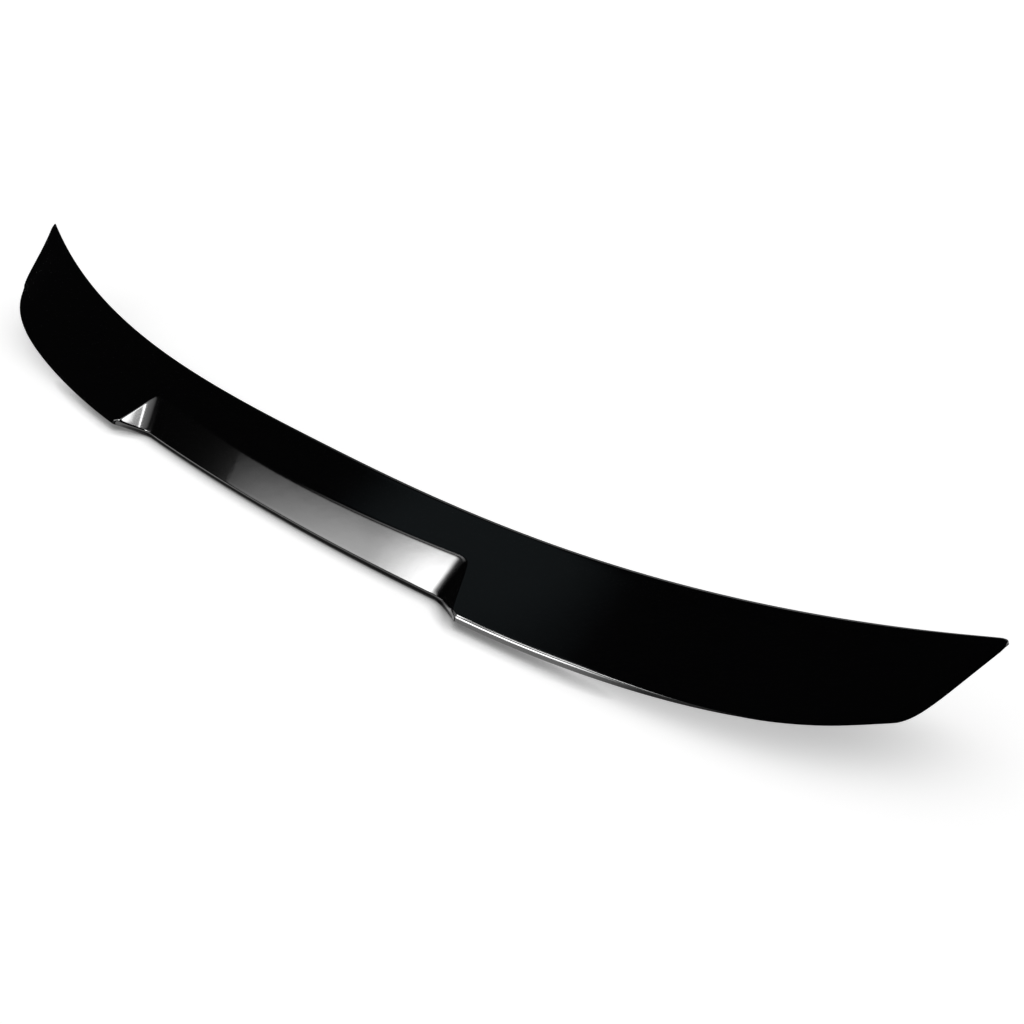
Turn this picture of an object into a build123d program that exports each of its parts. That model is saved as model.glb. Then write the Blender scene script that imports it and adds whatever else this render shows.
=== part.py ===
"""Boot-lid lip spoiler for a car, one thin-walled moulding in gloss black plastic.

X runs along the spoiler, +Y points to the front of the car and +Z up. The part lies as it
does off the car: the rim of its middle panel and the foot of its front ramp rest on Z = 0.
"""
from math import cos, radians, sin, sqrt
import os

from build123d import *

# Overall reach, in millimetres
half_span = 605.0            # middle of the part to the sharp tip of each end
wall = 3.0                   # moulded wall
tip_radius = 6.0             # rounding of the tip, seen from behind

# Rear rim of the side lobes, the edge nearest to a person behind the car
rim_height = 7.5             # upright band below the rear face
rim_sweep = 75.0             # how far the rim has run forward by the tip
rim_power = 2.3              # how late along the span that sweep comes
rim_hook = 58.0              # extra run of the rim where it turns into the tip
rim_hook_power = 11.0

# Lip, the highest line of every section
lip_depth = 73.8             # lip ahead of the rim, mid span
lip_height = 53.0            # lip above the lid, mid span
lip_sweep = 92.0             # how far the lip has run forward by the tip
lip_sweep_power = 2.5
lip_rise = 40.2              # extra height of the lip at the tip
lip_rise_power = 3.1
lip_round = 4.5              # length of each flank that the lip's rounding takes
face_hollow = 1.5            # hollow of the rear face below a straight line

# Front ramp, from the lip down to a thin foot on the lid
foot_depth = 122.8           # foot's front edge ahead of the rim, mid span
foot_sweep = 48.0            # how far the foot has run forward by the tip
foot_sweep_power = 2.5
foot_edge = 1.5              # thickness of the foot's edge
ramp_hollow = 0.15           # hollow of the ramp as a share of its run along Y

# Ends, seen from behind
end_rake = 31.0              # how far each tip stands out past the lower rear corner of its end
corner_lift = 41.0           # height of that corner above the lid
corner_radius = 42.0
end_foot = 9.0               # thickness along X of each end wall at that corner
end_crown = 4.0              # the same at the tip

# Steeper panel in the middle of the rear face
panel_reach = 208.0          # half width of the panel at its rim
panel_drop = 6.5             # panel's rim below the rims of the lobes
panel_rim = 5.0              # upright band below the panel
panel_step = 17.8            # panel's rim ahead of the lobes' rims, mid span
panel_bow = 7.0              # the same, extra at the panel's ends
panel_slope = 52.0           # degrees
panel_ramp = 34.0            # length along X of the ramp at each end
panel_corner = 36.0          # rounding between the panel and its end ramps, seen from above

# Sections along the span, as shares of it, and room for cuts to pass through
stations = (0.0, 0.17, 0.34, 0.51, 0.66, 0.78, 0.87, 0.94, 1.005)
below_lid = 40.0             # the envelope is carried this far down before it is trimmed
room = 400.0
lobe_start = panel_reach + panel_ramp
corner_reach = half_span - end_rake
tip_height = lip_height + lip_rise


def rising(x, start, low):
    """Height at x of a line that is flat to start, then rises on one arc to the end's corner."""
    run = corner_reach - start
    lift = corner_lift - low
    radius = (run ** 2 + lift ** 2) / (2 * lift)
    beyond = max(abs(x) - start, 0.0)
    return low + radius - sqrt(radius ** 2 - beyond ** 2)


def swept(x, depth, sweep, power):
    return depth + sweep * (abs(x) / half_span) ** power


def rim_line(x):
    """Rear rim's position along Y at x."""
    return swept(x, 0.0, rim_sweep, rim_power) + swept(x, 0.0, rim_hook, rim_hook_power)


def inward(first, second):
    """Unit vector square to the line from first to second, to the hollow's side of it."""
    along = (second - first).normalized()
    return Vector(along.Y, -along.X)


def mitre(one, two):
    """Shift that moves two lines, given their unit normals, one wall inwards at their corner."""
    return (one + two) * (wall / (1 + one.dot(two)))


def section(x):
    """Rim, face bow, lip, ramp bow and foot of the outer section at x, as (Y, Z)."""
    rim = Vector(rim_line(x), rising(x, lobe_start, panel_drop) + rim_height)
    lip = Vector(
        swept(x, lip_depth, lip_sweep, lip_sweep_power), swept(x, lip_height, lip_rise, lip_rise_power)
    )
    foot = Vector(
        swept(x, foot_depth, foot_sweep, foot_sweep_power), rising(x, panel_reach, 0.0) + foot_edge
    )
    face_bow = (rim + lip) * 0.5 + inward(rim, lip) * (2 * face_hollow)
    ramp_bow = (lip + foot) * 0.5 + inward(lip, foot) * (2 * ramp_hollow * (foot.X - lip.X))
    return rim, face_bow, lip, ramp_bow, foot


def placed(x, points):
    return [Vector(x, point.X, point.Y) for point in points]


def outer_outline(x):
    """Closed outline at x of the solid envelope, carried on below the lid."""
    rim, face_bow, lip, ramp_bow, foot = section(x)
    face_top = lip + (face_bow - lip).normalized() * lip_round
    ramp_top = lip + (ramp_bow - lip).normalized() * lip_round
    corners = (rim, face_bow, face_top, lip, ramp_top, ramp_bow, foot)
    p = placed(x, corners + (Vector(foot.X, -below_lid), Vector(rim.X, -below_lid)))
    curves = [Bezier(*p[0:3]), Bezier(*p[2:5]), Bezier(*p[4:7])]
    return make_face(curves + [Polyline(p[6], p[7], p[8], p[0])])


def inner_outline(x):
    """Closed outline at x of the hollow, one wall inside the envelope."""
    rim, face_bow, lip, ramp_bow, foot = section(x)
    low_face = inward(rim, face_bow)
    high_face = inward(face_bow, lip)
    high_ramp = inward(lip, ramp_bow)
    low_ramp = inward(ramp_bow, foot)
    rim_in = Vector(rim.X + wall, (rim + low_face * wall).Y)
    foot_in = foot + low_ramp * wall
    corners = (
        rim_in,
        face_bow + mitre(low_face, high_face),
        lip + mitre(high_face, high_ramp),
        ramp_bow + mitre(high_ramp, low_ramp),
        foot_in,
    )
    low = -2 * below_lid
    p = placed(x, corners + (Vector(foot_in.X, low), Vector(rim_in.X, low)))
    curves = [Bezier(*p[0:3]), Bezier(*p[2:5])]
    return make_face(curves + [Polyline(p[4], p[5], p[6], p[0])])


def loft_along(outline):
    """Smooth body through an outline at every station, left to right."""
    shares = [-share for share in reversed(stations[1:])] + list(stations)
    return loft([outline(share * half_span) for share in shares])


def raked_end(foot_inset, crown_inset):
    """Lower corner and tip of the right-hand end seen from behind, each moved in along X."""
    return (corner_reach - foot_inset, corner_lift), (half_span - crown_inset, tip_height)


def both_sides(half, low, high):
    """Body of a half outline seen from behind and its mirror image, from Y low to Y high."""
    whole = half + mirror(half, about=Plane.YZ)
    return extrude(Plane.XZ.offset(-high) * whole, amount=high - low)


def trim(low, high, underside):
    """What to keep of the envelope between Y low and Y high: underside, raked end and tip."""
    corner, tip = raked_end(0.0, 0.0)
    end = Polyline(corner, tip, (lobe_start, tip_height), (lobe_start, room), (0, room), (0, 0))
    half = make_face(underside + [end])
    half = fillet(half.vertices().sort_by_distance((*tip, 0))[0], tip_radius)
    half = fillet(half.vertices().sort_by_distance((*corner, 0))[0], corner_radius)
    return both_sides(half, low, high)


def hollow_trim():
    """What to keep of the hollow: everything between the walls of the raked ends."""
    corner, tip = raked_end(end_foot, end_crown)
    end = Polyline((0, -room), (corner[0], -room), corner, tip, (tip[0], room), (0, room), close=True)
    return both_sides(make_face(end), -room, room)


def panel_plan(lobe_y, grow):
    """Plan of what the middle panel cuts away, its end ramps reaching lobe_y at the lobes' corners."""
    edge = Vector(panel_reach, panel_step + panel_bow)
    outer = edge + (Vector(lobe_start, lobe_y) - edge) * 3
    back = ThreePointArc((-edge.X, edge.Y), (0, panel_step), (edge.X, edge.Y))
    right = Polyline((edge.X, edge.Y), (outer.X, outer.Y), (outer.X, -room), (0, -room))
    plan = make_face([back, right, mirror(right, about=Plane.YZ)])
    plan = fillet(plan.vertices().sort_by(Axis.Y)[-2:], panel_corner)
    return offset(plan, amount=grow) if grow else plan


def panel_cut(skin):
    """Tool that cuts the middle panel, moved on by skin for the inner side of the wall."""
    slope = radians(panel_slope)
    grow = skin / sin(slope)
    rim_top = panel_drop + rim_height
    lobe_y = rim_line(lobe_start)
    ramp_y = lobe_y - (rim_top - panel_rim) * cos(slope) / sin(slope)
    face_cut = extrude(
        Pos(0, 0, panel_rim) * panel_plan(ramp_y, grow), amount=room, dir=(0, cos(slope), sin(slope))
    )
    rim_cut = extrude(Pos(0, 0, rim_top) * panel_plan(lobe_y, grow), amount=room, dir=(0, 0, -1))
    return face_cut + rim_cut


def spoiler():
    """The finished moulding, with its origin under the middle of its box."""
    corner = (corner_reach, corner_lift)
    flat = Line((0, 0), (panel_reach, 0))
    step = Line((panel_reach, 0), (lobe_start, panel_drop))
    rear = [flat, step, TangentArc((lobe_start, panel_drop), corner, tangent=(1, 0))]
    front = [flat, TangentArc((panel_reach, 0), corner, tangent=(1, 0))]
    split = (lip_depth + foot_depth) / 2
    keep = trim(-room, split, rear) + trim(split, room, front)
    envelope = (loft_along(outer_outline) - panel_cut(0.0)) & keep
    hollow = (loft_along(inner_outline) - panel_cut(wall)) & hollow_trim()
    shell = envelope - hollow
    return Pos(0, -shell.bounding_box().center().Y, 0) * shell


os.makedirs("parts", exist_ok=True)
export_step(spoiler(), "parts/spoiler_shell.step")
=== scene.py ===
"""Looks of the boot-lid lip spoiler: a gloss black moulding on a white studio floor."""
from math import cos, pi, radians, sin, tan

import bpy
from mathutils import Matrix, Vector


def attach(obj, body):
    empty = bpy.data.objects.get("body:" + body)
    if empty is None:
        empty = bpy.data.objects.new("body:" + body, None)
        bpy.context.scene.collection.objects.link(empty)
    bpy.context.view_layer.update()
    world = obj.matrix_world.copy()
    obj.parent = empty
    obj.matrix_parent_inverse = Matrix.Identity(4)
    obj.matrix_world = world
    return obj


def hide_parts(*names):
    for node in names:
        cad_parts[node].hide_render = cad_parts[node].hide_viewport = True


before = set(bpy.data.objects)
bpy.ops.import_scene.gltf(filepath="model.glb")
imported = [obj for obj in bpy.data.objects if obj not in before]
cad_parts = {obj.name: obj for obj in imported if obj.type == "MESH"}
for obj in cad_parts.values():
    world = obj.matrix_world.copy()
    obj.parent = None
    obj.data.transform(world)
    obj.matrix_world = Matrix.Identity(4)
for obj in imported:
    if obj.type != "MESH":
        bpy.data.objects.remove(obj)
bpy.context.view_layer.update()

MM = 0.001

# Sizes of the moulding in millimetres, finer than the part's source at its rims, ends and tips
SIZES = {
    # Overall reach
    "Half span": 605.0,            # middle to the sharp tip that the long lines run out to
    "Reach": 600.7,                # middle to the rounded tip
    "Wall": 3.0,
    "Front offset": 86.75,         # middle of the part's box ahead of the rim, mid span
    # Rear rim of the side lobes
    "Rim height": 3.0,
    "Rim end height": 0.4,         # the same towards the tips
    "Rim taper start": 340.0,
    "Rim taper end": 500.0,
    "Rim sweep": 75.0,
    "Rim hook": 80.0,              # extra run of the rim where it turns into the tip
    # Lip and rear face
    "Lip depth": 73.8,
    "Lip height": 53.0,
    "Lip sweep": 92.0,
    "Lip rise": 40.2,
    "Lip round": 4.5,
    "Face hollow": 1.5,
    # Front ramp
    "Foot depth": 122.8,
    "Foot sweep": 48.0,
    "Foot edge": 1.5,
    # Ends
    "End rake": 31.0,              # tip past the lower rear corner, seen from behind
    "Corner lift": 41.0,           # height of that corner
    "Corner blend": 22.0,
    "End sweep start": 564.0,      # where the rim's sweep eases off
    "End sweep blend": 18.0,
    "Tip hook": 20.0,              # last run of the rim up to the tip
    "Tip point": 606.3,
    "Tip radius": 7.0,
    "Tip blend": 8.0,
    "End wall start": 566.0,       # the underside is closed from here to the tip
    # Steeper panel in the middle
    "Panel reach": 208.0,
    "Panel drop": 6.5,             # panel's rim below the lobes' rims
    "Panel rim": 5.0,              # upright band below the panel
    "Panel step": 17.8,            # panel's rim ahead of the lobes' rims, mid span
    "Panel bow": 8.5,
    "Panel ramp": 34.0,            # length of the ramp at each end of the panel
    "Ramp rise": 7.3,
    "Panel corner blend": 7.5,
    "Panel ramp blend": 10.5,
    "Crease blend": 1.0,
    "Skin sample": 2.0,            # step over which the skin's slope is taken
    "Panel foot": 1.1,             # height of the small toe below the panel's rim
    "Panel toe": 0.45,             # how far that toe stands out
}

# Powers, shares and slopes, which have no unit
SHARES = {
    "Rim power": 2.3,
    "Hook power": 12.5,
    "End sweep slope": 0.42,
    "Tip hook power": 4.0,
    "Lip sweep power": 2.5,
    "Lip rise power": 3.1,
    "Foot power": 2.5,
    "Ramp hollow": 0.15,
    "Panel slope": tan(radians(52.0)),
    "End ramp slope": tan(radians(43.2)),
    "Rim lean": tan(radians(31.0)),
    "Panel rim lean": tan(radians(-11.0)),
    "Rim flat": 0.55,
}

# Limits that keep the skin sound where the section shrinks to the tip
HOLLOW_LIMIT = 0.03                # face hollow, as a share of the face's run
ROUND_LIMIT = 0.4                  # lip rounding, as a share of the same
WALL_TAPER = 20.0                  # the wall thins over this many walls before the tip
LEAST_WALL = 0.02                  # share of the wall left at the tip
FOOT_SHARE = 0.95                  # share of the foot's own height that its wall may take
LEAN_POWER = 6.0                   # how late along a ramp its rim takes on the lobe's lean

# Columns of the mesh from the middle to one tip: how many, and where each zone ends
COLUMN_ZONES = ((40, 186.0), (66, 252.0), (70, 560.0), (24, 588.0), (24, SIZES["Reach"]))
HALF_COLUMNS = sum(count for count, _ in COLUMN_ZONES)

# Rows of the mesh in each strip of the skin, and how closely they gather at the panel's upper edge
ROWS = {"toe": 2, "band": 4, "edge": 10, "skin": 44, "lip": 10, "front": 16, "foot": 2, "under": 6}
ROW_GATHERING = 1.6
MERGE_DISTANCE = 0.01
SHARP_ANGLE = radians(38.0)


class Rule:
    """A number worked out by the node tree, so that formulas read as they are written."""

    def __init__(self, tree, socket):
        self.tree = tree
        self.socket = socket

    def math(self, operation, *others):
        node = self.tree.nodes.new("ShaderNodeMath")
        node.operation = operation
        for socket, value in zip(node.inputs, (self,) + others):
            feed(self.tree, value, socket)
        return Rule(self.tree, node.outputs[0])

    def __add__(self, other):
        return self.math("ADD", other)

    def __radd__(self, other):
        return self.math("ADD", other)

    def __sub__(self, other):
        return self.math("SUBTRACT", other)

    def __rsub__(self, other):
        return (self * -1.0) + other

    def __mul__(self, other):
        return self.math("MULTIPLY", other)

    def __rmul__(self, other):
        return self.math("MULTIPLY", other)

    def __truediv__(self, other):
        return self.math("DIVIDE", other)

    def __pow__(self, power):
        return self.math("POWER", power)

    def root(self):
        return self.math("MAXIMUM", 0.0).math("SQRT")

    def size(self):
        return self.math("ABSOLUTE")

    def at_least(self, other):
        return self.math("MAXIMUM", other)

    def at_most(self, other):
        return self.math("MINIMUM", other)

    def above(self, other):
        return self.math("GREATER_THAN", other)

    def share_of(self, start, end):
        """How far this has run from start to end, between 0 and 1."""
        return ((self - start) / (end - start)).at_least(0.0).at_most(1.0)

    def eased(self):
        """The same share, with a soft start and a soft end."""
        return self * self * (3.0 - 2.0 * self)

    def mixed(self, first, second):
        """First where this is 0 and second where it is 1."""
        return first + (second - first) * self


def feed(tree, value, socket):
    """Link a worked-out number to a socket, or write a plain one on it."""
    if isinstance(value, Rule):
        tree.links.new(value.socket, socket)
    else:
        socket.default_value = value


def add_node(tree, kind, **settings):
    """New node with some of its own settings made."""
    node = tree.nodes.new(kind)
    for name, value in settings.items():
        setattr(node, name, value)
    return node


def set_inputs(node, values):
    """Write plain values on a node's named sockets."""
    for name, value in values.items():
        node.inputs[name].default_value = value


class SpoilerRule:
    """Node tree that makes the moulding from its named sizes."""

    def __init__(self, name, material):
        self.tree = bpy.data.node_groups.new(name, "GeometryNodeTree")
        self.material = material
        self.inputs = {}
        self.values = {}
        for label in list(SIZES) + list(SHARES):
            size = self.tree.interface.new_socket(label, in_out="INPUT", socket_type="NodeSocketFloat")
            self.inputs[label] = size.identifier
        self.tree.interface.new_socket("Shell", in_out="OUTPUT", socket_type="NodeSocketGeometry")
        entry = add_node(self.tree, "NodeGroupInput")
        for label in self.inputs:
            self.values[label] = Rule(self.tree, entry.outputs[label])
        across, along = self.position()
        self.across = across
        self.along = along + 0.5
        self.set_lines()
        self.finish(self.outer_strips())

    def __getitem__(self, label):
        return self.values[label]

    def position(self):
        """First two coordinates of a point of the mesh, where it stands when they are read."""
        place = add_node(self.tree, "GeometryNodeInputPosition")
        split = add_node(self.tree, "ShaderNodeSeparateXYZ")
        self.tree.links.new(place.outputs[0], split.inputs[0])
        return Rule(self.tree, split.outputs[0]), Rule(self.tree, split.outputs[1])

    def column_place(self):
        """Distance of each column from the middle, zone by zone."""
        share = self.across.size()
        done = 0
        low = 0.0
        place = 0.0
        for count, high in COLUMN_ZONES:
            run = share.share_of(done / HALF_COLUMNS, (done + count) / HALF_COLUMNS)
            place = run * ((high - low) * MM) + place
            done += count
            low = high
        return place

    def arc(self, start, low):
        """Height of a line that is flat to start and then rises on one arc to the end's corner."""
        run = self.corner - start
        lift = self["Corner lift"] - low
        radius = (run * run + lift * lift) / (2.0 * lift)
        beyond = (self.out - start).at_least(0.0)
        return low + radius - (radius * radius - beyond * beyond).root()

    def set_lines(self):
        """Lines that run along the whole moulding, as functions of the distance from the middle."""
        self.out = self.column_place()
        side = self.across.math("SIGN")
        self.x = self.out * side
        span = self.out / self["Half span"]
        self.corner = self["Half span"] - self["End rake"]
        self.lobe_start = self["Panel reach"] + self["Panel ramp"]
        near = self.out.math("SMOOTH_MIN", self["End sweep start"], self["End sweep blend"])
        bend = near / self["Half span"]
        sweep = self["Rim sweep"] * bend ** self["Rim power"]
        hook = self["Rim hook"] * bend ** self["Hook power"]
        beyond = self.out - near
        tip = beyond / (self["Half span"] - self["End sweep start"])
        tip_hook = self["Tip hook"] * tip ** self["Tip hook power"]
        self.rim_y = sweep + hook + beyond * self["End sweep slope"] + tip_hook
        self.lip_y = self["Lip depth"] + self["Lip sweep"] * span ** self["Lip sweep power"]
        self.lip_z = self["Lip height"] + self["Lip rise"] * span ** self["Lip rise power"]
        self.foot_y = self["Foot depth"] + self["Foot sweep"] * span ** self["Foot power"]
        front_base = self.arc(self["Panel reach"], 0.0)
        lobe_base = self.arc(self.lobe_start, self["Panel drop"])
        self.step = self.out.share_of(self["Panel reach"], self.lobe_start)
        rear_base = lobe_base - self["Panel drop"] * (1.0 - self.step)
        self.foot_z = front_base + self["Foot edge"]
        self.set_end(rear_base, front_base)
        taper = self.out.share_of(self["Rim taper start"], self["Rim taper end"]).eased()
        self.rim_z = lobe_base + taper.mixed(self["Rim height"], self["Rim end height"])
        self.set_face()
        self.set_panel()

    def set_end(self, rear_base, front_base):
        """Underside with its raked end and rounded tip, seen from behind."""
        tip_height = self["Lip height"] + self["Lip rise"]
        rise = (tip_height - self["Corner lift"]) / (self["Tip point"] - self.corner)
        rake = self["Corner lift"] + (self.out - self.corner) * rise
        radius = self["Tip radius"]
        centre_z = tip_height - radius
        centre_x = self["Reach"] - radius
        beyond = (self.out - centre_x).at_least(0.0)
        bulge = (radius * radius - beyond * beyond).root()
        lean = (1.0 + rise * rise).root()
        touch = centre_x + radius * rise / lean
        rounded = self.out.above(touch)
        end = rounded.mixed(rake, centre_z - bulge)
        self.rear_z = rear_base.math("SMOOTH_MAX", end, self["Corner blend"])
        self.front_z = front_base.math("SMOOTH_MAX", end, self["Corner blend"])
        self.top_z = centre_z + bulge

    def set_face(self):
        """Rear face: a parabola from the rim to the lip, slightly hollow."""
        run = self.lip_y - self.rim_y
        rise = self.lip_z - self.rim_z
        hollow = self["Face hollow"].at_most(run * HOLLOW_LIMIT) * (run * run + rise * rise).root() / run
        self.face_bend = 4.0 * hollow / (run * run)
        self.face_slope = (rise - 4.0 * hollow) / run
        top_slope = (rise + 4.0 * hollow) / run
        self.lip_round = self["Lip round"].at_most(run * ROUND_LIMIT)
        self.face_top = run - self.lip_round / (1.0 + top_slope * top_slope).root()
        over = (self.rear_z - self.rim_z).at_least(0.0)
        slope = self.face_slope
        self.face_start = 2.0 * over / (slope + (slope * slope + 4.0 * self.face_bend * over).root())

    def end_ramp(self, end):
        """Straight line in plan from the panel's corner to a place along Y beside the lobe."""
        edge = self["Panel step"] + self["Panel bow"]
        return edge + (self.out - self["Panel reach"]) * (end - edge) / self["Panel ramp"]

    def crossing(self, base, slope):
        """Distance ahead of the lobes' rim at which a plane along Y cuts the rear face."""
        gap = self.rim_z - base
        fall = slope - self.face_slope
        return 2.0 * gap / (fall + (fall * fall - 4.0 * self.face_bend * gap).root())

    def set_panel(self):
        """Steeper panel and its end ramps: where they start in plan, and the rim below them."""
        slope = self["Panel slope"]
        ramp_slope = self["End ramp slope"]
        share = self.out / self["Panel reach"]
        back = self["Panel step"] + self["Panel bow"] * share * share
        lobe_rim = self["Rim sweep"] * (self.lobe_start / self["Half span"]) ** self["Rim power"]
        ramp_line = self.end_ramp(lobe_rim - self["Ramp rise"] / ramp_slope)
        rim_line = back.math("SMOOTH_MIN", self.end_ramp(lobe_rim), self["Panel corner blend"])
        self.panel_base = self["Panel rim"] + (self.rim_y - back) * slope
        self.ramp_base = self["Panel rim"] + (self.rim_y - ramp_line) * ramp_slope
        ramp_crease = self.crossing(self.ramp_base, ramp_slope)
        crease = self.crossing(self.panel_base, slope).at_most(ramp_crease)
        self.start = (rim_line - self.rim_y).at_least(self.face_start)
        band_top = self.skin_z(self.start)
        skin_slope = (self.skin_z(self.start + self["Skin sample"]) - band_top) / self["Skin sample"]
        lean = (self.step ** LEAN_POWER).mixed(self["Panel rim lean"], self["Rim lean"])
        self.toe_z = self.rear_z + self["Panel foot"] * (1.0 - self.step)
        self.toe_run = self["Panel toe"] * (1.0 - self.step)
        self.band = (band_top - self.toe_z).at_least(0.0) / (1.0 - skin_slope * lean)
        self.corner_y = self.start + self.band * lean
        stretch = ((1.0 + lean * lean) / (1.0 + skin_slope ** 2.0)).root()
        self.edge_end = self.corner_y + (1.0 - self["Rim flat"]) * self.band * stretch
        self.face_top = self.face_top.at_least(self.edge_end)
        self.crease = crease.at_least(self.edge_end).at_most(self.face_top)

    def skin_z(self, run):
        """Height of the rear skin at a distance ahead of the lobes' rim."""
        face = self.rim_z + self.face_slope * run + self.face_bend * run * run
        panel = self.panel_base + self["Panel slope"] * run
        ramp = self.ramp_base + self["End ramp slope"] * run
        notch = panel.math("SMOOTH_MAX", ramp, self["Panel ramp blend"])
        return face.math("SMOOTH_MIN", notch, self["Crease blend"])

    def bow(self, share, first, middle, last):
        """Point of a three-point bow."""
        rest = 1.0 - share
        return rest * rest * first + 2.0 * share * rest * middle + share * share * last

    def strip(self, name, y, z, thickness, level=0.0):
        """One strip of the skin, with its wall's thickness and how level that wall lies."""
        grid = add_node(self.tree, "GeometryNodeMeshGrid")
        set_inputs(grid, {"Size X": 2.0, "Size Y": 1.0})
        set_inputs(grid, {"Vertices X": 2 * HALF_COLUMNS + 1, "Vertices Y": ROWS[name] + 1})
        mesh = grid.outputs["Mesh"]
        for label, value in (("wall", thickness), ("level", level)):
            store = add_node(self.tree, "GeometryNodeStoreNamedAttribute", data_type="FLOAT")
            store.inputs["Name"].default_value = label
            feed(self.tree, value, store.inputs["Value"])
            self.tree.links.new(mesh, store.inputs["Geometry"])
            mesh = store.outputs["Geometry"]
        point = add_node(self.tree, "ShaderNodeCombineXYZ")
        feed(self.tree, self.x, point.inputs[0])
        feed(self.tree, y - self["Front offset"], point.inputs[1])
        feed(self.tree, z.math("SMOOTH_MIN", self.top_z, self["Tip blend"]), point.inputs[2])
        move = add_node(self.tree, "GeometryNodeSetPosition")
        self.tree.links.new(mesh, move.inputs["Geometry"])
        self.tree.links.new(point.outputs[0], move.inputs["Position"])
        return move.outputs["Geometry"]

    def outer_strips(self):
        """Every strip of the outside, from the rear underside over the lip to the front foot."""
        near_tip = (self["Reach"] - self.out) / (self["Wall"] * WALL_TAPER)
        self.wall = self["Wall"] * near_tip.at_least(LEAST_WALL).at_most(1.0)
        return self.rear_strips() + self.front_strips() + [self.end_walls()]

    def rear_strips(self):
        """Toe, band and rounded edge of the rear rim, and the rear skin above them."""
        v = self.along
        toe_y = self.rim_y + self.start - self.toe_run * (1.0 - v)
        toe = self.strip("toe", toe_y, v.mixed(self.rear_z, self.toe_z), self.wall, level=1.0)

        corner_z = self.toe_z + self.band
        flat = v * self["Rim flat"]
        band_y = self.rim_y + flat.mixed(self.start, self.corner_y)
        band = self.strip("band", band_y, flat.mixed(self.toe_z, corner_z), self.wall, level=1.0)

        low_y = self["Rim flat"].mixed(self.start, self.corner_y)
        low_z = self["Rim flat"].mixed(self.toe_z, corner_z)
        edge_y = self.bow(v, low_y, self.corner_y, self.edge_end)
        edge_z = self.bow(v, low_z, corner_z, self.skin_z(self.edge_end))
        edge = self.strip("edge", self.rim_y + edge_y, edge_z, self.wall, level=1.0 - v)

        below = (1.0 - 2.0 * v).at_least(0.0) ** ROW_GATHERING
        beyond = (2.0 * v - 1.0).at_least(0.0) ** ROW_GATHERING
        rim_side = (self.crease - self.edge_end) * below
        lip_side = (self.face_top - self.crease) * beyond
        run = self.crease - rim_side + lip_side
        skin = self.strip("skin", self.rim_y + run, self.skin_z(run), self.wall)
        return [toe, band, edge, skin]

    def front_strips(self):
        """Rounded lip, hollow front ramp and the thin edge of its foot."""
        v = self.along
        ramp_run = self.foot_y - self.lip_y
        ramp_fall = self.lip_z - self.foot_z
        ramp_length = (ramp_run * ramp_run + ramp_fall * ramp_fall).root()
        hollow = 2.0 * self["Ramp hollow"] * ramp_run / ramp_length
        bow_y = (self.lip_y + self.foot_y) * 0.5 - ramp_fall * hollow
        bow_z = (self.lip_z + self.foot_z) * 0.5 - ramp_run * hollow
        down_y = bow_y - self.lip_y
        down_z = bow_z - self.lip_z
        reach = self.lip_round / (down_y * down_y + down_z * down_z).root()
        ramp_y = self.lip_y + down_y * reach
        ramp_z = self.lip_z + down_z * reach
        lip_y = self.bow(v, self.rim_y + self.face_top, self.lip_y, ramp_y)
        lip_z = self.bow(v, self.skin_z(self.face_top), self.lip_z, ramp_z)
        lip = self.strip("lip", lip_y, lip_z, self.wall)

        low = self.foot_z.at_least(self.front_z)
        curve = ramp_z - 2.0 * bow_z + self.foot_z
        drop = 2.0 * (ramp_z - bow_z)
        over = (ramp_z - low).at_least(0.0)
        last = (2.0 * over / (drop + (drop * drop - 4.0 * curve * over).root())).at_most(1.0)
        share = v * last
        front_y = self.bow(share, ramp_y, bow_y, self.foot_y)
        front_z = self.bow(share, ramp_z, bow_z, self.foot_z)
        front = self.strip("front", front_y, front_z, self.thinned(front_z))

        self.end_y = self.bow(last, ramp_y, bow_y, self.foot_y)
        end_z = self.bow(last, ramp_z, bow_z, self.foot_z).at_least(self.front_z)
        foot_z = v.mixed(end_z, self.front_z)
        foot = self.strip("foot", self.end_y, foot_z, self.thinned(foot_z))
        return [lip, front, foot]

    def thinned(self, z):
        """Wall that stays above the underside of the foot."""
        return self.wall.at_most((z - self.front_z).at_least(0.0) * FOOT_SHARE)

    def end_walls(self):
        """Underside, kept only where it closes the two ends."""
        under_y = self.along.mixed(self.end_y, self.rim_y + self.start - self.toe_run)
        under_z = self.along.mixed(self.front_z, self.rear_z)
        under = self.strip("under", under_y, under_z, self.wall)
        ends = add_node(self.tree, "GeometryNodeDeleteGeometry", domain="FACE")
        x, _ = self.position()
        open_part = self["End wall start"] - x.size()
        self.tree.links.new(under, ends.inputs["Geometry"])
        feed(self.tree, open_part.above(0.0), ends.inputs["Selection"])
        return ends.outputs["Geometry"]

    def joined(self, pieces):
        """Pieces in one mesh, with their touching edges merged."""
        join = add_node(self.tree, "GeometryNodeJoinGeometry")
        for piece in reversed(pieces):
            self.tree.links.new(piece, join.inputs[0])
        merge = add_node(self.tree, "GeometryNodeMergeByDistance")
        merge.inputs["Distance"].default_value = MERGE_DISTANCE * MM
        self.tree.links.new(join.outputs[0], merge.inputs["Geometry"])
        return merge.outputs["Geometry"]

    def stored(self, name):
        """A number that the strips have stored on their points."""
        node = add_node(self.tree, "GeometryNodeInputNamedAttribute", data_type="FLOAT")
        node.inputs["Name"].default_value = name
        return Rule(self.tree, node.outputs["Attribute"])

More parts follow.
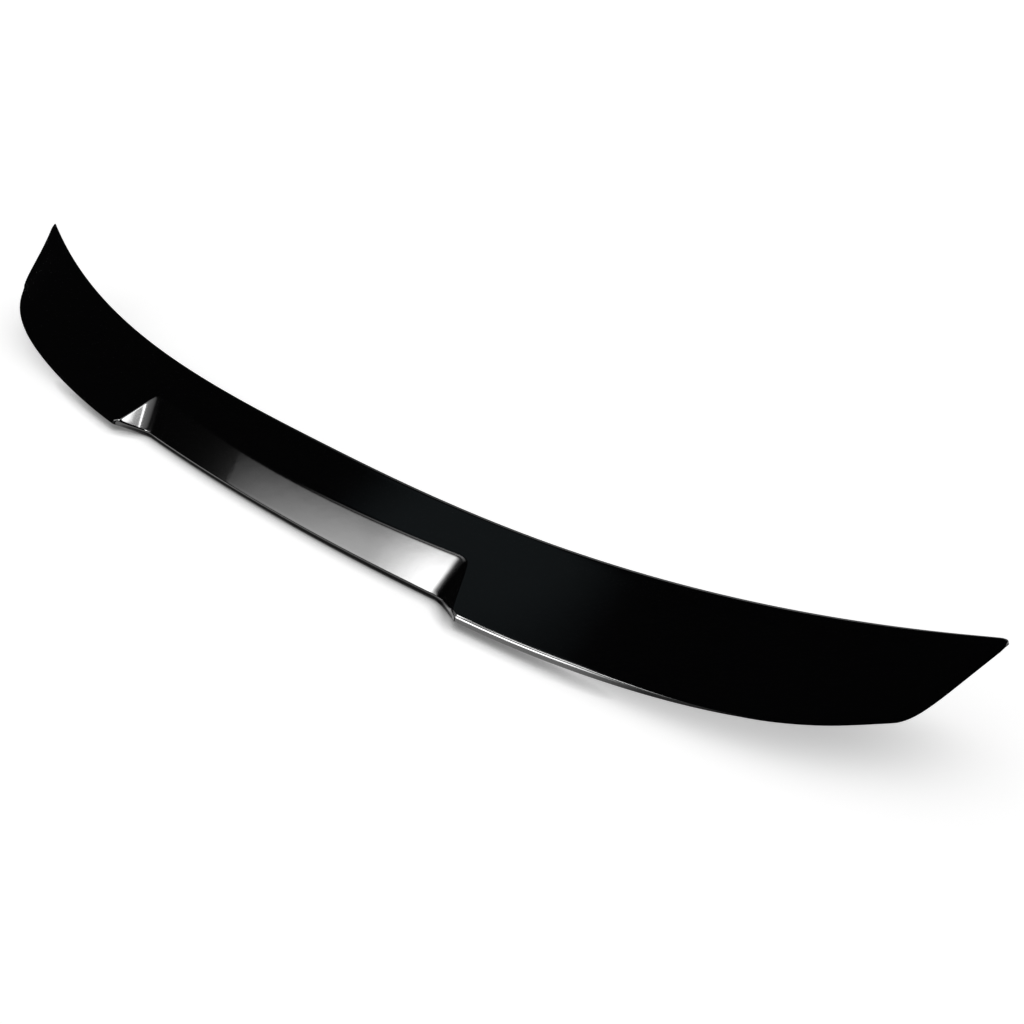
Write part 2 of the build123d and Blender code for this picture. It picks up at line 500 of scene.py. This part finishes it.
    def finish(self, strips):
        """Give the skin its wall, smooth it and set its material."""
        outer = self.joined(strips)
        thickness = self.stored("wall")
        level = self.stored("level")
        normal = add_node(self.tree, "GeometryNodeInputNormal")
        square = add_node(self.tree, "ShaderNodeVectorMath", operation="SCALE")
        forward = add_node(self.tree, "ShaderNodeCombineXYZ")
        inwards = add_node(self.tree, "ShaderNodeVectorMath", operation="ADD")
        extrude = add_node(self.tree, "GeometryNodeExtrudeMesh", mode="FACES")
        extrude.inputs["Individual"].default_value = False
        flip = add_node(self.tree, "GeometryNodeFlipFaces")
        self.tree.links.new(normal.outputs[0], square.inputs[0])
        feed(self.tree, level - 1.0, square.inputs["Scale"])
        feed(self.tree, level, forward.inputs[1])
        self.tree.links.new(square.outputs[0], inwards.inputs[0])
        self.tree.links.new(forward.outputs[0], inwards.inputs[1])
        self.tree.links.new(outer, extrude.inputs["Mesh"])
        self.tree.links.new(inwards.outputs[0], extrude.inputs["Offset"])
        feed(self.tree, thickness, extrude.inputs["Offset Scale"])
        self.tree.links.new(extrude.outputs["Mesh"], flip.inputs["Mesh"])
        shell = self.joined([outer, flip.outputs["Mesh"]])
        smooth = add_node(self.tree, "GeometryNodeSetShadeSmooth", domain="FACE")
        smooth.inputs["Shade Smooth"].default_value = True
        angle = add_node(self.tree, "GeometryNodeInputMeshEdgeAngle")
        sharp = add_node(self.tree, "GeometryNodeSetShadeSmooth", domain="EDGE")
        sharp.inputs["Shade Smooth"].default_value = False
        bend = Rule(self.tree, angle.outputs["Unsigned Angle"]).above(SHARP_ANGLE)
        realize = add_node(self.tree, "GeometryNodeRealizeInstances")
        paint = add_node(self.tree, "GeometryNodeSetMaterial")
        paint.inputs["Material"].default_value = self.material
        leave = add_node(self.tree, "NodeGroupOutput")
        self.tree.links.new(shell, smooth.inputs["Geometry"])
        self.tree.links.new(smooth.outputs["Geometry"], sharp.inputs["Geometry"])
        feed(self.tree, bend, sharp.inputs["Selection"])
        self.tree.links.new(sharp.outputs["Geometry"], realize.inputs["Geometry"])
        self.tree.links.new(realize.outputs["Geometry"], paint.inputs["Geometry"])
        self.tree.links.new(paint.outputs["Geometry"], leave.inputs[0])

    def make(self, name):
        """Run the tree once and keep its result as a plain mesh."""
        piece = bpy.data.objects.new(name, bpy.data.meshes.new(name))
        bpy.context.scene.collection.objects.link(piece)
        modifier = piece.modifiers.new("moulding", "NODES")
        modifier.node_group = self.tree
        for label, value in SIZES.items():
            modifier[self.inputs[label]] = value * MM
        for label, value in SHARES.items():
            modifier[self.inputs[label]] = value
        graph = bpy.context.evaluated_depsgraph_get()
        mesh = bpy.data.meshes.new_from_object(piece.evaluated_get(graph))
        piece.modifiers.remove(modifier)
        piece.data = mesh
        for attribute in ("wall", "level"):
            mesh.attributes.remove(mesh.attributes[attribute])
        return piece


def gloss_black():
    """Deep black moulding under a hard, slightly rippled gloss."""
    material = bpy.data.materials.new("gloss_black_moulding")
    material.use_nodes = True
    tree = material.node_tree
    shader = tree.nodes["Principled BSDF"]
    set_inputs(shader, {
        "Base Color": (0.001, 0.001, 0.0012, 1.0),
        "Roughness": 0.12,
        "IOR": 1.5,
        "Coat Weight": 1.0,
        "Coat Roughness": 0.02,
        "Coat IOR": 1.5,
    })
    place = add_node(tree, "ShaderNodeTexCoord")
    ripple = add_node(tree, "ShaderNodeTexNoise")
    set_inputs(ripple, {"Scale": 38.0, "Detail": 3.0})
    bump = add_node(tree, "ShaderNodeBump")
    set_inputs(bump, {"Strength": 0.06, "Distance": 0.0006})
    tree.links.new(place.outputs["Object"], ripple.inputs["Vector"])
    tree.links.new(ripple.outputs[0], bump.inputs["Height"])
    tree.links.new(bump.outputs["Normal"], shader.inputs["Normal"])
    tree.links.new(bump.outputs["Normal"], shader.inputs["Coat Normal"])
    return material


def floor_paint_with_painted_shadow():
    """White floor with a painted contact shadow: ambient occlusion darkens its colour and its glow close
    under the part, more so as the gloss mirrors it.
    """
    whiteness = 0.9
    painted_shadow_reach = 0.013           # metres from the part over which the painted contact shadow fades
    painted_shadow_depth = 3.0
    painted_gloss_shadow_depth = 2.5              # extra depth of that painted shadow where the gloss mirrors the floor
    glow_level = 0.48
    painted_glow_shadow_depth = 2.0
    far_start = 0.8                # metres from the middle where the floor turns to plain white
    far_end = 1.8
    material = bpy.data.materials.new("white_floor")
    material.use_nodes = True
    tree = material.node_tree
    shader = tree.nodes["Principled BSDF"]
    set_inputs(shader, {
        "Roughness": 0.9,
        "Specular IOR Level": 0.0,
        "Emission Color": (1.0, 1.0, 1.0, 1.0),
    })
    path = add_node(tree, "ShaderNodeLightPath")
    by_camera = Rule(tree, path.outputs["Is Camera Ray"])
    in_gloss = Rule(tree, path.outputs["Is Glossy Ray"])
    in_gloss = in_gloss + Rule(tree, path.outputs["Is Transmission Ray"])
    # Painted contact shadow: ambient occlusion close to the part darkens the floor's base colour and its
    # glow, and darkens them further in reflections.
    contact_shadow_ao = add_node(tree, "ShaderNodeAmbientOcclusion", samples=8)
    contact_shadow_ao.inputs["Distance"].default_value = painted_shadow_reach
    unshaded_share = Rule(tree, contact_shadow_ao.outputs["AO"]) ** (1.0 + painted_gloss_shadow_depth * in_gloss)
    white = add_node(tree, "ShaderNodeCombineColor")
    for channel in white.inputs:
        feed(tree, whiteness * unshaded_share ** painted_shadow_depth, channel)
    tree.links.new(white.outputs[0], shader.inputs["Base Color"])
    place = add_node(tree, "ShaderNodeTexCoord")
    distance = add_node(tree, "ShaderNodeVectorMath", operation="LENGTH")
    tree.links.new(place.outputs["Object"], distance.inputs[0])
    far = Rule(tree, distance.outputs["Value"]).share_of(far_start, far_end).eased()
    # The glow near the part is darkened by the same painted contact shadow.
    near_glow = glow_level * unshaded_share ** painted_glow_shadow_depth
    seen = (by_camera + in_gloss).at_most(1.0)
    feed(tree, near_glow * seen + (1.0 - near_glow) * by_camera * far, shader.inputs["Emission Strength"])
    return material


def white_floor():
    """Wide studio floor that stays white where no shadow falls."""
    mesh = bpy.data.meshes.new("studio_floor")
    half = 12.0
    corners = [(-half, -half, 0.0), (half, -half, 0.0), (half, half, 0.0), (-half, half, 0.0)]
    mesh.from_pydata(corners, [], [(0, 1, 2, 3)])
    floor = bpy.data.objects.new("studio_floor", mesh)
    bpy.context.scene.collection.objects.link(floor)
    mesh.materials.append(floor_paint_with_painted_shadow())


def set_world():
    """White to the camera past the floor, and a dark studio to the gloss."""
    dark_level = 0.004
    world = bpy.data.worlds.new("studio")
    bpy.context.scene.world = world
    world.use_nodes = True
    tree = world.node_tree
    background = tree.nodes["Background"]
    background.inputs["Color"].default_value = (1.0, 1.0, 1.0, 1.0)
    path = add_node(tree, "ShaderNodeLightPath")
    level = Rule(tree, path.outputs["Is Camera Ray"]).at_least(dark_level)
    feed(tree, level, background.inputs["Strength"])


def around(azimuth, elevation, distance):
    """Place at a distance from the part, azimuth counted from the front towards the right-hand end."""
    level = distance * cos(radians(elevation))
    return Vector((
        level * sin(radians(azimuth)),
        level * cos(radians(azimuth)),
        distance * sin(radians(elevation)),
    ))


def aim_lamp(name, lamp, place, roll=0.0, target=Vector((0.0, 0.0, 0.0))):
    """Stand a lamp at a place, facing the target, turned about its own beam by roll degrees."""
    obj = bpy.data.objects.new(name, lamp)
    bpy.context.scene.collection.objects.link(obj)
    turned = Matrix.Rotation(radians(roll), 3, "Z")
    obj.location = place
    obj.rotation_euler = ((target - place).to_track_quat("-Z", "Y").to_matrix() @ turned).to_euler()
    obj.visible_camera = False
    return obj


def softbox(name, glow, place, width, height, radiance, tint=(1.0, 1.0, 1.0), **aim):
    """Soft lamp for the gloss alone, its brightness given by glow from the shares across and up it."""
    lamp = bpy.data.lights.new(name, "AREA")
    lamp.shape = "RECTANGLE"
    lamp.size = width
    lamp.size_y = height
    lamp.energy = radiance * pi * width * height
    lamp.color = tint
    lamp.use_nodes = True
    tree = lamp.node_tree
    face = add_node(tree, "ShaderNodeNewGeometry")
    split = add_node(tree, "ShaderNodeSeparateXYZ")
    tree.links.new(face.outputs["Parametric"], split.inputs[0])
    across = Rule(tree, split.outputs[0])
    up = Rule(tree, split.outputs[1])
    feed(tree, glow(across, up), tree.nodes["Emission"].inputs["Strength"])
    obj = aim_lamp(name, lamp, place, **aim)
    obj.visible_diffuse = False


def overhead_light(height, width, radiance):
    """Main light, a wide soft ceiling over the part, which the gloss doesn't mirror."""
    lamp = bpy.data.lights.new("overhead", "AREA")
    lamp.shape = "SQUARE"
    lamp.size = width
    lamp.energy = radiance * pi * width * width
    obj = aim_lamp("overhead", lamp, Vector((0.0, 0.0, height)))
    obj.visible_glossy = False


def band_of(share, start, full, fading, end):
    """1 from full to fading, running out to 0 at start and at end."""
    return share.share_of(start, full) * (1.0 - share.share_of(fading, end))


def panel_glow(across, up):
    """Dim at the left, hot towards the right and soft at its upper edge."""
    dim = across.share_of(0.046, 0.058) * (0.033 + 0.17 * across.share_of(0.05, 0.4))
    hot = 0.79 * across.share_of(0.44, 0.7).eased()
    end = 1.0 - across.share_of(0.80, 1.0).eased()
    top = 1.0 - up.share_of(0.70, 1.0).eased()
    return (dim + hot) * end * top


def facet_glow(across, _):
    """Grey, with one narrow bright strip and a long fade to its left-hand side."""
    strip = band_of(across, 0.70, 0.71, 0.735, 0.745)
    return 0.085 * across.share_of(0.0, 0.75) + 0.85 * strip


def rim_glow(across, up):
    """Grey below and hot above a dark gap, fading towards the end of the moulding."""
    low = band_of(up, 0.0, 0.06, 0.26, 0.30) * (1.0 - across.share_of(0.5, 0.74))
    high = band_of(up, 0.69, 0.72, 0.78, 0.82) * (1.0 - across.share_of(0.45, 0.65))
    return 0.01 + 0.06 * low + 0.85 * high


def round_glow(across, up):
    """Even in the middle, fading to all four edges."""
    sides = across.share_of(0.0, 0.3) * (1.0 - across).share_of(0.0, 0.3)
    ends = up.share_of(0.0, 0.3) * (1.0 - up).share_of(0.0, 0.3)
    return sides.eased() * ends.eased()


def light_gloss():
    """Lamps that the gloss mirrors: on the panel, its left ramp, the right rim, the front and the face."""
    softbox(
        "panel_light", panel_glow, around(azimuth=-141.5, elevation=23.4, distance=6.0),
        width=3.8, height=1.26, radiance=20.0, roll=25.0,
    )
    left_ramp = Vector((-0.226, -0.056, 0.018))
    softbox(
        "facet_light", facet_glow, Vector((-0.417, -0.582, 0.615)),
        width=0.8, height=0.2, radiance=20.0, target=left_ramp + Vector((-0.24, 0.0, 0.0)),
    )
    softbox(
        "rim_light", rim_glow, Vector((0.195, -0.4, 0.27)),
        width=0.41, height=0.44, radiance=20.0, target=Vector((0.195, 0.0, 0.27)),
    )
    softbox(
        "front_light", round_glow, Vector((0.0, 1.4, 3.0)),
        width=8.0, height=1.8, radiance=1.2,
    )
    softbox(
        "sheen_light", round_glow, around(azimuth=-116.0, elevation=53.0, distance=4.0),
        width=1.6, height=1.2, radiance=0.08, tint=(0.75, 0.93, 1.0),
    )


def set_camera():
    """Camera behind the right-hand end, as in the photograph."""
    data = bpy.data.cameras.new("photo_view")
    data.lens = 50.0
    data.sensor_width = 36.0
    camera = bpy.data.objects.new("photo_view", data)
    bpy.context.scene.collection.objects.link(camera)
    camera.location = (0.9087, -0.6807, 0.6069)
    camera.rotation_euler = (radians(60.62), 0.0, radians(45.04))
    bpy.context.scene.camera = camera


bpy.context.scene.view_settings.view_transform = "Standard"
set_camera()
white_floor()
set_world()
overhead_light(height=2.5, width=9.0, radiance=0.76)
light_gloss()

shell = SpoilerRule("spoiler_rule", gloss_black()).make("spoiler_moulding")
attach(shell, "root")
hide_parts("spoiler_shell")
